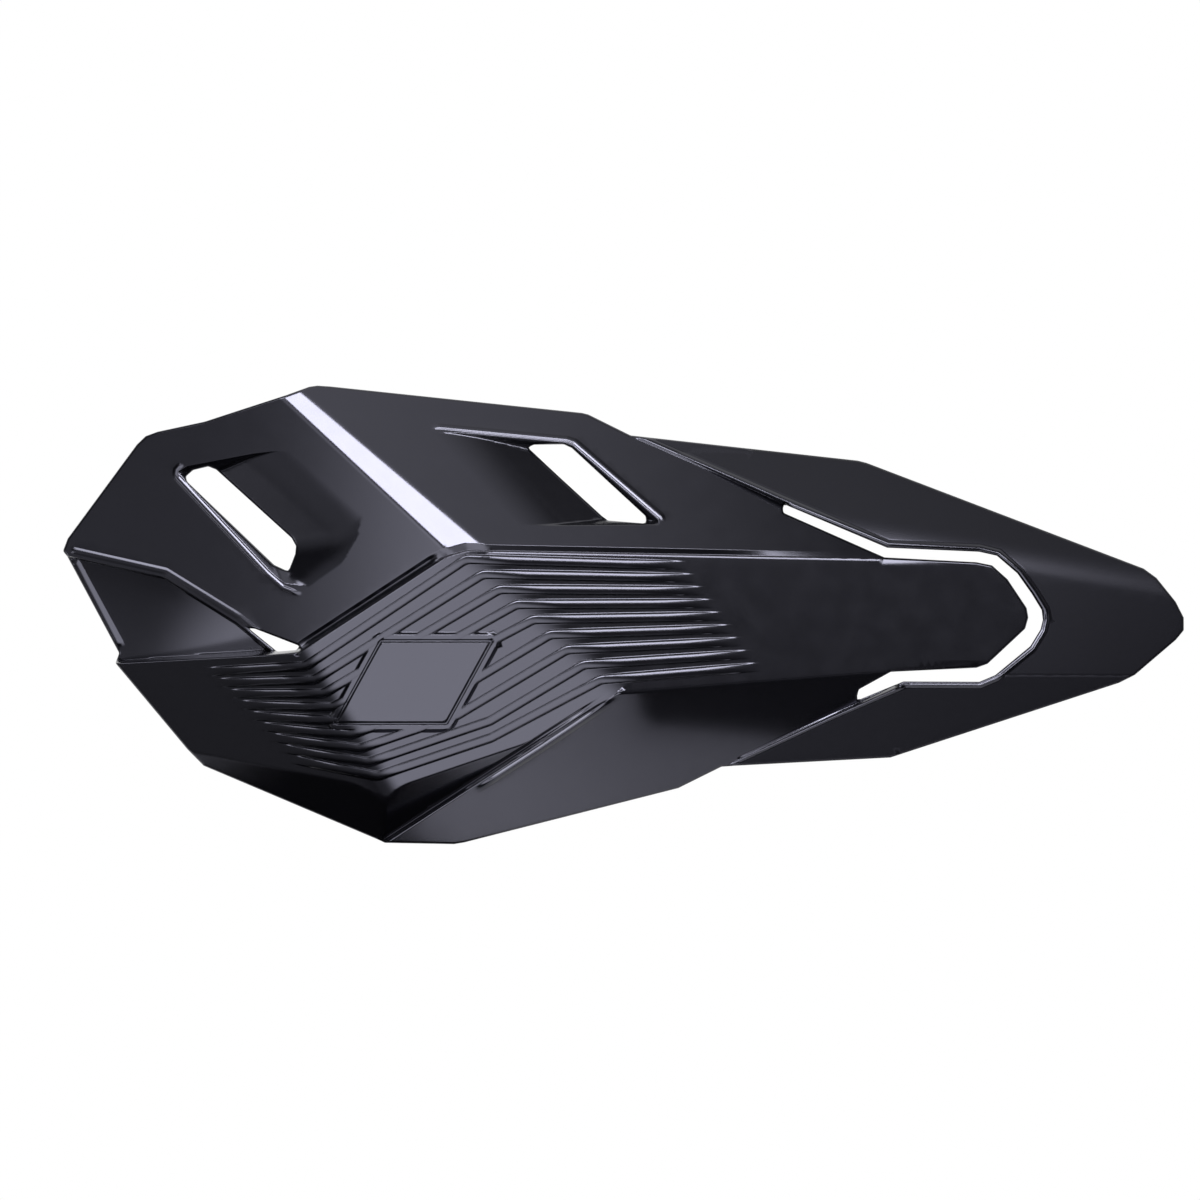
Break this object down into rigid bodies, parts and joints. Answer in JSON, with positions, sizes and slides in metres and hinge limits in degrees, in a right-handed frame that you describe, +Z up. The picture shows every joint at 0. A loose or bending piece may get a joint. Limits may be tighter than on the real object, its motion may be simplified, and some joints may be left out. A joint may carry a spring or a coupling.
{
  "type": "motorcycle hand guard",
  "caption": "Open off-road motorcycle hand guard: one creased, vented and ribbed moulded shield, held on the handlebar by an arm and a split clamp.",
  "frame": {"origin": "middle of the handlebar inside the clamp", "axes": "+X outboard along the handlebar, +Z up, the shield faces -Y"},
  "size_m": [0.2811, 0.107, 0.1146],
  "materials": {
    "shell_plastic": "gloss",
    "brass": "satin",
    "pad_rubber": "matt",
    "arm_nylon": "matt",
    "steel": "satin",
    "cast_aluminium": "satin",
    "sleeve_nylon": "matt"
  },
  "bodies": {
    "root": {"guard_shell": "shell_plastic", "boss_inserts": "brass", "arm_pad": "pad_rubber", "mount_arm": "arm_nylon", "arm_collars": "steel", "arm_washers": "steel", "arm_screws": "steel", "clamp_saddle": "cast_aluminium", "clamp_cap": "cast_aluminium", "sleeve_front": "sleeve_nylon", "sleeve_rear": "sleeve_nylon", "clamp_bolts": "steel", "clamp_washers": "steel", "clamp_nuts": "steel", "fork_bolt": "steel", "fork_bushes": "steel", "fork_washers": "steel", "fork_nut": "steel"}
  },
  "joints": []
}
